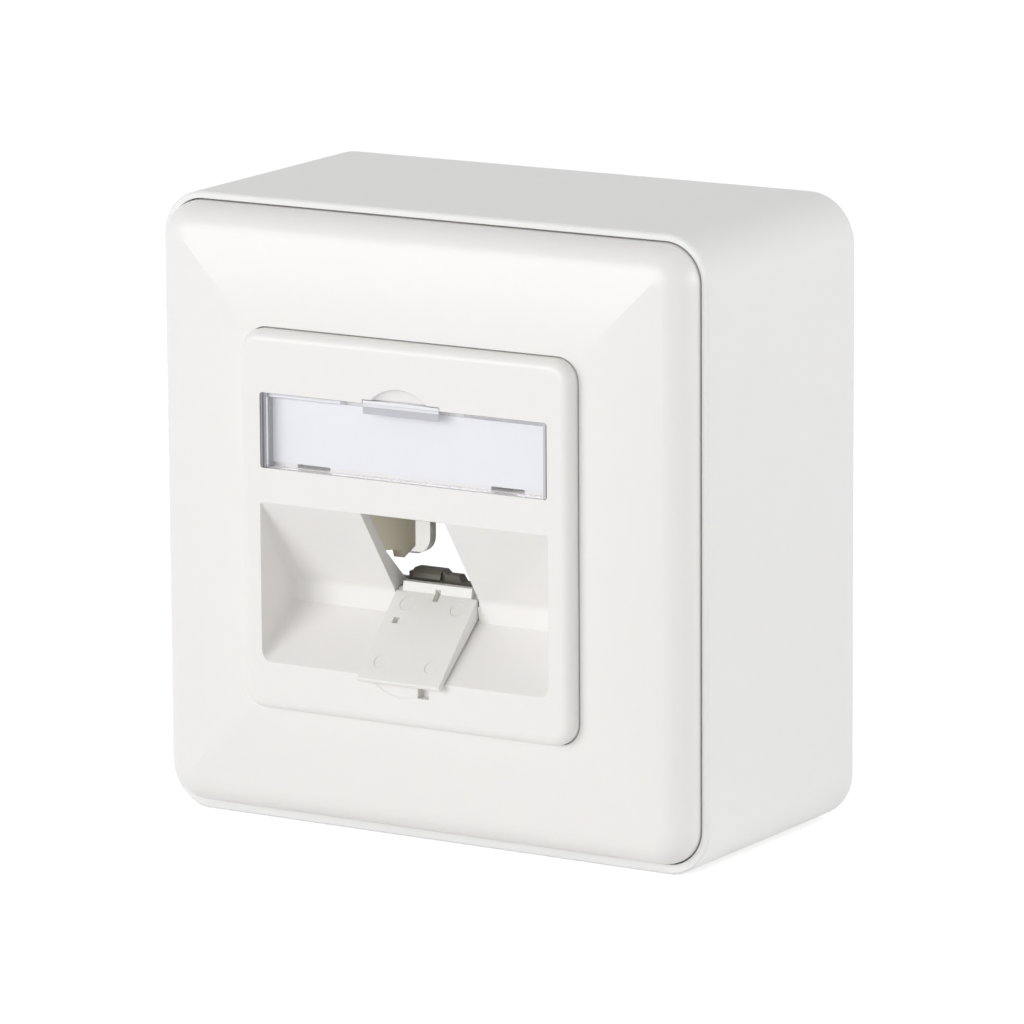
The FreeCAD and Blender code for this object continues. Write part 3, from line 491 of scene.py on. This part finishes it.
class OUTLET_OT_centre_plate(bpy.types.Operator):
    """Finish the centre plate, with its hollow finger scoops"""
    bl_idname = "outlet.centre_plate"
    bl_label = "Centre plate"

    def execute(self, context):
        sizes = context.scene.outlet_sizes
        colour = context.scene.outlet_colours.cover
        plastic = moulded_plastic("moulded_polycarbonate_plate", colour, roughness=0.36, ior=1.56)
        mesh = merged_copy("centre_plate")
        self.hollow_scoop(mesh, sizes.scoop_depth)
        self.flatten_low_scoop(mesh, sizes.low_scoop_depth)
        bmesh.ops.recalc_face_normals(mesh, faces=mesh.faces)
        piece = finish_piece("centre_plate_moulding", as_data("centre_plate_moulding", mesh), [plastic],
                             "centre_plate", "outlet")
        exact_normals(piece, "centre_plate")
        return {"FINISHED"}

    def hollow_scoop(self, mesh, depth):
        """Gives the scoop above the window a hollow floor, steep at its arc and deepest at the window."""
        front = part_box("centre_plate")[0].y
        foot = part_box("label_window")[1].z + SCOOP_GAP
        arc, wall_corners = self.open_scoop(mesh, front, foot)

        # The floor gets deeper with the distance from the circle that the arc is part of.
        crown = max(arc, key=lambda vert: vert.co.z).co
        rise = crown.z - foot
        half_chord = (arc[-1].co.x - arc[0].co.x) / 2
        radius = (rise ** 2 + half_chord ** 2) / (2 * rise)
        centre_x = (arc[0].co.x + arc[-1].co.x) / 2

        def floor_at(x, z):
            inset = radius - math.hypot(x - centre_x, z - crown.z + radius)
            return front + depth * math.sqrt(max(0.0, 1 - (1 - inset / rise) ** 2))

        # Columns of corners run down from the arc, closest together under it.
        columns = []
        for top in arc:
            column = [top]
            for row in range(1, SCOOP_ROWS + 1):
                z = foot + (top.co.z - foot) * math.cos(math.pi / 2 * row / SCOOP_ROWS)
                if top.co.z - foot > HAIR:
                    column.append(mesh.verts.new((top.co.x, floor_at(top.co.x, z), z)))
            columns.append(column)
        for left, right in zip(columns, columns[1:]):
            for row in range(SCOOP_ROWS):
                loop = [left[min(row, len(left) - 1)], left[min(row + 1, len(left) - 1)],
                        right[min(row + 1, len(right) - 1)], right[min(row, len(right) - 1)]]
                mesh.faces.new(list(dict.fromkeys(loop))).smooth = True

        # The end wall closes the gap between the floor's foot and the window's pocket.
        front_pair = sorted(wall_corners[:2], key=lambda vert: vert.co.x)
        rear_pair = sorted(wall_corners[2:4], key=lambda vert: -vert.co.x)
        feet = [column[-1] for column in columns]
        mesh.faces.new([front_pair[0]] + feet + [front_pair[1]] + rear_pair)
        loose = [vert for vert in mesh.verts if not vert.link_faces]
        bmesh.ops.delete(mesh, geom=loose, context="VERTS")

    def open_scoop(self, mesh, front, foot):
        """Takes out the scoop's floor and end wall. Returns the corners of its arc from left to right, and
        those of the end wall from front to rear."""
        half_width, reach, height = SCOOP_REACH
        near = [vert for vert in mesh.verts if vert.co.z > foot - HAIR and vert.co.z < foot + height
                and abs(vert.co.x) < half_width and vert.co.y < front + reach]
        members = set(near)
        edges = [edge for edge in mesh.edges if edge.verts[0] in members and edge.verts[1] in members]
        bmesh.ops.dissolve_limit(mesh, angle_limit=FLAT, verts=near, edges=edges)

        def in_front(vert):
            return vert.co.y < front + HAIR

        def at_foot(vert):
            return abs(vert.co.z - foot) < HAIR

        inside = [face for face in mesh.faces if all(vert in members for vert in face.verts)
                  and not all(in_front(vert) for vert in face.verts)]
        wall = next(face for face in inside if all(at_foot(vert) for vert in face.verts))
        inside.remove(wall)
        arc = sorted({vert for face in inside for vert in face.verts if in_front(vert)},
                     key=lambda vert: vert.co.x)
        wall_corners = sorted((vert for vert in wall.verts if vert not in arc
                               and (in_front(vert) or vert.co.y > front + SCOOP_STEP)),
                              key=lambda vert: vert.co.y)
        bmesh.ops.delete(mesh, geom=inside + [wall], context="FACES_ONLY")
        return arc, wall_corners

    def flatten_low_scoop(self, mesh, depth):
        """Leaves only a shallow step of the scoop under the flap, with a flat floor."""
        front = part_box("centre_plate")[0].y
        half_width, lowest, highest = LOW_SCOOP_REACH
        floor = [vert for vert in mesh.verts
                 if 2 * HAIR < vert.co.y - front < LOW_SCOOP_SOLID + HAIR
                 and abs(vert.co.x) < half_width and lowest < vert.co.z < highest]
        for vert in floor:
            if vert.co.z > RECESS_FOOT:
                vert.co.z = RECESS_FOOT + (vert.co.z - RECESS_FOOT) * depth / LOW_SCOOP_SOLID
            vert.co.y = front + depth * (vert.co.y - front) / LOW_SCOOP_SOLID


class OUTLET_OT_dust_flap(bpy.types.Operator):
    """Finish the dust flap, with the marks of its ejector pins"""
    bl_idname = "outlet.dust_flap"
    bl_label = "Dust flap"

    def execute(self, context):
        sizes = context.scene.outlet_sizes
        plastic = moulded_plastic("moulded_abs_flap", context.scene.outlet_colours.flap, roughness=0.40)
        mesh = merged_copy("dust_flap")
        bmesh.ops.dissolve_limit(mesh, angle_limit=FLAT, verts=mesh.verts, edges=mesh.edges)
        # While the flap hangs open, its inner face looks up and to the front.
        inner_face = max((face for face in mesh.faces if face.normal.z > 0.5 and face.normal.y < -0.3),
                         key=lambda face: face.calc_area())
        normal = inner_face.normal.copy()
        downwards = Vector((0.0, -normal.z, normal.y))
        hinge_end = min((vert.co.copy() for vert in inner_face.verts),
                        key=lambda corner: corner.dot(downwards))
        first_row, second_row = MARK_ROWS
        place = Vector((0.0, hinge_end.y, hinge_end.z)) + downwards * (first_row + second_row) / 2
        marked = run_tree("dust_flap_moulding", as_data("dust_flap_base", mesh), ejector_mark_tree(plastic), {
            "Across": MARK_SPACING, "Along": second_row - first_row, "Radius": sizes.mark_radius,
            "Depth": sizes.mark_depth, "Place": place, "Tilt": (math.atan2(-normal.y, normal.z), 0.0, 0.0)})
        piece = finish_piece("dust_flap_moulding", marked, [plastic], "dust_flap", "flap")
        marked.shade_smooth()
        marked.set_sharp_from_angle(angle=CREASE)
        weighted = piece.modifiers.new("flat_faces_stay_flat", "WEIGHTED_NORMAL")
        weighted.keep_sharp = True
        return {"FINISHED"}


class OUTLET_OT_label(bpy.types.Operator):
    """Make the clear label window and finish the paper behind it"""
    bl_idname = "outlet.label"
    bl_label = "Label"

    def execute(self, context):
        low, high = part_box("label_window")
        colours = context.scene.outlet_colours
        mesh = bmesh.new()
        self.add_moulding(mesh, low, high)
        bmesh.ops.recalc_face_normals(mesh, faces=mesh.faces)
        materials = [clear_polycarbonate(),
                     painted_dark_end_wall(low.x, low.x + LEFT_WALL),
                     moulded_plastic("polycarbonate_rim_painted_shade", colours.window_painted_grey,
                                     roughness=0.3, ior=POLYCARBONATE_IOR),
                     moulded_plastic("frosted_polycarbonate_tab", colours.window_tab,
                                     roughness=0.3, ior=POLYCARBONATE_IOR)]
        piece = finish_piece("label_window_moulding", as_data("label_window_moulding", mesh), materials,
                             "label_window", "window")
        softened = piece.modifiers.new("softened_edges", "BEVEL")
        softened.width = WINDOW_EDGE
        softened.segments = 2
        softened.limit_method = "ANGLE"
        give_material(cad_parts["label_strip"], coated_paper())
        return {"FINISHED"}

    def add_moulding(self, mesh, low, high):
        """Fills the window's box with its walls. They stay a hair apart, so that no faces coincide."""
        clear, end_wall, edge, tab = range(4)
        top = high.z - TAB_RISE
        whole_height = (low.z, top)
        inside = low.x + LEFT_WALL + 2 * HAIR
        skin = (low.y, low.y + FROSTING)
        wall_depth = (low.y + HAIR, high.y - 2 * HAIR)
        rim_depth = (low.y + PANE + 2 * HAIR, high.y - 2 * HAIR)
        # The right wall, the right stretch of the rim and the groove take the painted grey as shade. The left
        # stretch of the rim takes the tab's lighter white, as painted light.
        for x_range, y_range, z_range, material_index in (
                ((inside, high.x - RIGHT_WALL - HAIR), (skin[1] + HAIR, low.y + PANE), whole_height, clear),
                ((low.x, low.x + LEFT_WALL), wall_depth, whole_height, end_wall),
                ((high.x - RIGHT_WALL, high.x), wall_depth, whole_height, edge),
                ((inside, RIM_ENDS[0]), rim_depth, (top - LEFT_RIM, top), tab),
                ((RIM_ENDS[1], high.x - RIGHT_WALL - 2 * HAIR), rim_depth, (top - RIGHT_RIM, top), edge),
                (TAB_X, skin, (top - GROOVE[0], top - GROOVE[1]), edge),
                (TAB_X, skin, (top - GROOVE[1] + HAIR, top), tab),
                (TAB_X, (low.y, low.y + TAB_THICKNESS), (top + HAIR, high.z), tab)):
            add_slab(mesh, x_range, y_range, z_range, material_index)


class OUTLET_OT_jack_seat(bpy.types.Operator):
    """Finish the holder and the catch behind the port"""
    bl_idname = "outlet.jack_seat"
    bl_label = "Jack seat"

    def execute(self, context):
        colours = context.scene.outlet_colours
        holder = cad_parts["jack_holder"]
        give_material(holder, moulded_plastic("natural_polyamide_and_painted_shade", colours.holder, roughness=0.5))
        holder.data.materials.append(
            moulded_plastic("translucent_polyamide_painted_lit", colours.painted_lit_stop, roughness=0.2,
                            translucency=0.0, see_through=0.95))
        # The stop is what stands behind the cheeks. It takes the lighter, see-through copy of the holder's
        # plastic so that it looks lit: painted light, though some real light does pass through it. The cheeks
        # keep the darker, warmer cream: painted shade over the plastic's natural cream.
        cheek_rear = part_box("centre_plate")[0].y + CHEEK_REAR
        for face in holder.data.polygons:
            painted_lit_stop = all(holder.data.vertices[vert].co.y > cheek_rear - HAIR for vert in face.vertices)
            face.material_index = 1 if painted_lit_stop else 0
        plastic = moulded_plastic("moulded_polyamide_catch", colours.catch, roughness=0.5, translucency=0.0)
        give_material(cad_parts["jack_catch"], plastic)
        return {"FINISHED"}


class OUTLET_OT_metal(bpy.types.Operator):
    """Finish the support frame"""
    bl_idname = "outlet.metal"
    bl_label = "Support frame"

    def execute(self, context):
        give_material(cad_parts["support_frame"], zinc_plated_steel("zinc_plated_sheet"))
        return {"FINISHED"}


class OUTLET_OT_screws(bpy.types.Operator):
    """Cut the threads of the plate screw and the two device screws"""
    bl_idname = "outlet.screws"
    bl_label = "Screws"

    def execute(self, context):
        sizes = context.scene.outlet_sizes
        wire = zinc_plated_steel("zinc_plated_screw", roughness=0.3)
        tree = thread_tree(wire)
        # Node, pitch, radius of the shank, height of the head.
        plans = (("plate_screw", sizes.thread_pitch, 1.45 * MM, 1.7 * MM),
                 ("device_screw_left", sizes.coarse_pitch, 1.3 * MM, 2.2 * MM),
                 ("device_screw_right", sizes.coarse_pitch, 1.3 * MM, 2.2 * MM))
        for node, pitch, shank_radius, head in plans:
            low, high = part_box(node)
            start = Vector(((low.x + high.x) / 2, low.y + head, (low.z + high.z) / 2))
            ridge = RIDGE_SHARE * pitch
            data = run_tree(node + "_threaded", as_data(node + "_base", merged_copy(node)), tree, {
                "Pitch": pitch, "Length": high.y - start.y - pitch / 2, "Ridge": ridge,
                "Core radius": shank_radius - RIDGE_BITE * ridge, "Start": start,
                "Turn": (-math.pi / 2, 0.0, 0.0)})
            finish_piece(node + "_threaded", data, [wire], node, "outlet")
            data.set_sharp_from_angle(angle=CREASE)
        return {"FINISHED"}


# Name, angle to the right of the front, angle above the horizon, distance, size and power.
SOFTBOXES = (("front_softbox", -22, 7, 1.8, (1.3, 1.1), 20.5),
             ("right_softbox", 107, 3, 1.5, (1.0, 1.0), 12.2))


def direction(side_angle, height_angle):
    """Unit vector that leans to the right of the front and above the horizon by these angles."""
    return Vector((math.sin(side_angle) * math.cos(height_angle),
                   -math.cos(side_angle) * math.cos(height_angle), math.sin(height_angle)))


def area_lamp(name, place, target, size, power):
    data = bpy.data.lights.new(name, "AREA")
    data.shape = "RECTANGLE"
    data.size, data.size_y = size
    data.energy = power
    lamp = bpy.data.objects.new(name, data)
    lamp.location = place
    lamp.rotation_euler = (Vector(target) - Vector(place)).to_track_quat("-Z", "Y").to_euler()
    bpy.context.scene.collection.objects.link(lamp)


def seen_directly(tree):
    """1 for what the camera, a reflection or a clear piece shows, 0 for what only lights the object."""
    path = add_node(tree, "ShaderNodeLightPath")
    seen = add_node(tree, "ShaderNodeMath", {0: path.outputs["Is Camera Ray"],
                                             1: path.outputs["Is Glossy Ray"]}, operation="MAXIMUM")
    return add_node(tree, "ShaderNodeMath", {0: seen.outputs[0], 1: path.outputs["Is Transmission Ray"]},
                    operation="MAXIMUM").outputs[0]


class OUTLET_OT_stage(bpy.types.Operator):
    """Set up the floor, the lamps and the camera"""
    bl_idname = "outlet.stage"
    bl_label = "Studio"

    def execute(self, context):
        scene = context.scene
        sizes = scene.outlet_sizes
        self.make_floor(scene)
        self.make_world(scene)
        middle = (CAD_BOX[0] + CAD_BOX[1]) / 2
        for name, side_angle, height_angle, distance, size, power in SOFTBOXES:
            place = middle + direction(math.radians(side_angle), math.radians(height_angle)) * distance
            area_lamp(name, place, middle, size, power)
        self.make_camera(scene, sizes)
        scene.view_settings.view_transform = "Standard"
        return {"FINISHED"}

    def make_floor(self, scene):
        floor_height = CAD_BOX[0].z
        data = bpy.data.meshes.new("floor")
        corners = [(x * FLOOR_REACH, y * FLOOR_REACH, floor_height)
                   for x, y in ((-1, -1), (1, -1), (1, 1), (-1, 1))]
        data.from_pydata(corners, [], [(0, 1, 2, 3)])
        floor = bpy.data.objects.new("floor", data)
        scene.collection.objects.link(floor)
        material, tree = new_material("painted_studio_floor")
        paint = add_node(tree, "ShaderNodeBsdfDiffuse", {"Color": tuple(scene.outlet_colours.floor)})
        glow = add_node(tree, "ShaderNodeEmission", {"Strength": FLOOR_GLOW})
        lit = add_node(tree, "ShaderNodeAddShader", {0: paint.outputs[0], 1: glow.outputs[0]})
        mix = add_node(tree, "ShaderNodeMixShader", {0: seen_directly(tree), 1: paint.outputs[0],
                                                     2: lit.outputs[0]})
        add_node(tree, "ShaderNodeOutputMaterial", {"Surface": mix.outputs[0]})
        give_material(floor, material)

    def make_world(self, scene):
        world = bpy.data.worlds.new("studio")
        world.use_nodes = True
        tree = world.node_tree
        tree.nodes.clear()
        ambient = add_node(tree, "ShaderNodeBackground", {"Color": WHITE, "Strength": AMBIENT})
        backdrop = add_node(tree, "ShaderNodeBackground", {"Color": WHITE, "Strength": 1.0})
        mix = add_node(tree, "ShaderNodeMixShader", {0: seen_directly(tree), 1: ambient.outputs[0],
                                                     2: backdrop.outputs[0]})
        add_node(tree, "ShaderNodeOutputWorld", {"Surface": mix.outputs[0]})
        scene.world = world

    def make_camera(self, scene, sizes):
        """Places the camera on a sphere round a point near the middle of the outlet's front."""
        azimuth, elevation, roll = sizes.azimuth, sizes.elevation, sizes.roll
        forward = -direction(azimuth, elevation)
        right = Vector((math.cos(azimuth), math.sin(azimuth), 0.0))
        up = right.cross(forward)
        face_middle = Vector((0.0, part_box("cover_frame")[0].y, 0.0))
        target = face_middle + right * VIEW_SHIFT[0] * MM + up * VIEW_SHIFT[1] * MM
        turned_right = right * math.cos(roll) - up * math.sin(roll)
        turned_up = right * math.sin(roll) + up * math.cos(roll)
        data = bpy.data.cameras.new("camera")
        data.lens = sizes.lens
        data.sensor_width = 36.0
        data.clip_end = 20.0
        camera = bpy.data.objects.new("camera", data)
        turn = Matrix((turned_right, turned_up, -forward)).transposed().to_4x4()
        camera.matrix_world = Matrix.Translation(target - forward * sizes.camera_distance) @ turn
        scene.collection.objects.link(camera)
        scene.camera = camera


# ---- panel and registration ---------------------------------------------------------------------
STEPS = (OUTLET_OT_housing, OUTLET_OT_cover, OUTLET_OT_centre_plate, OUTLET_OT_dust_flap,
         OUTLET_OT_label, OUTLET_OT_jack_seat, OUTLET_OT_metal, OUTLET_OT_screws, OUTLET_OT_stage)


class OUTLET_PT_panel(bpy.types.Panel):
    """Building steps and settings of the outlet"""
    bl_idname = "OUTLET_PT_panel"
    bl_label = "Outlet"
    bl_space_type = "VIEW_3D"
    bl_region_type = "UI"
    bl_category = "Outlet"

    def draw(self, context):
        for step in STEPS:
            self.layout.operator(step.bl_idname)
        for group in (context.scene.outlet_colours, context.scene.outlet_sizes):
            for name in group.__annotations__:
                self.layout.prop(group, name)


CLASSES = (OutletColours, OutletSizes) + STEPS + (OUTLET_PT_panel,)


def register():
    for cls in CLASSES:
        bpy.utils.register_class(cls)
    bpy.types.Scene.outlet_colours = PointerProperty(type=OutletColours)
    bpy.types.Scene.outlet_sizes = PointerProperty(type=OutletSizes)


def unregister():
    del bpy.types.Scene.outlet_sizes
    del bpy.types.Scene.outlet_colours
    for cls in reversed(CLASSES):
        bpy.utils.unregister_class(cls)


def main():
    register()
    bpy.ops.outlet.housing()
    bpy.ops.outlet.cover()
    bpy.ops.outlet.centre_plate()
    bpy.ops.outlet.dust_flap()
    bpy.ops.outlet.label()
    bpy.ops.outlet.jack_seat()
    bpy.ops.outlet.metal()
    bpy.ops.outlet.screws()
    bpy.ops.outlet.stage()


if __name__ == "__main__":
    main()
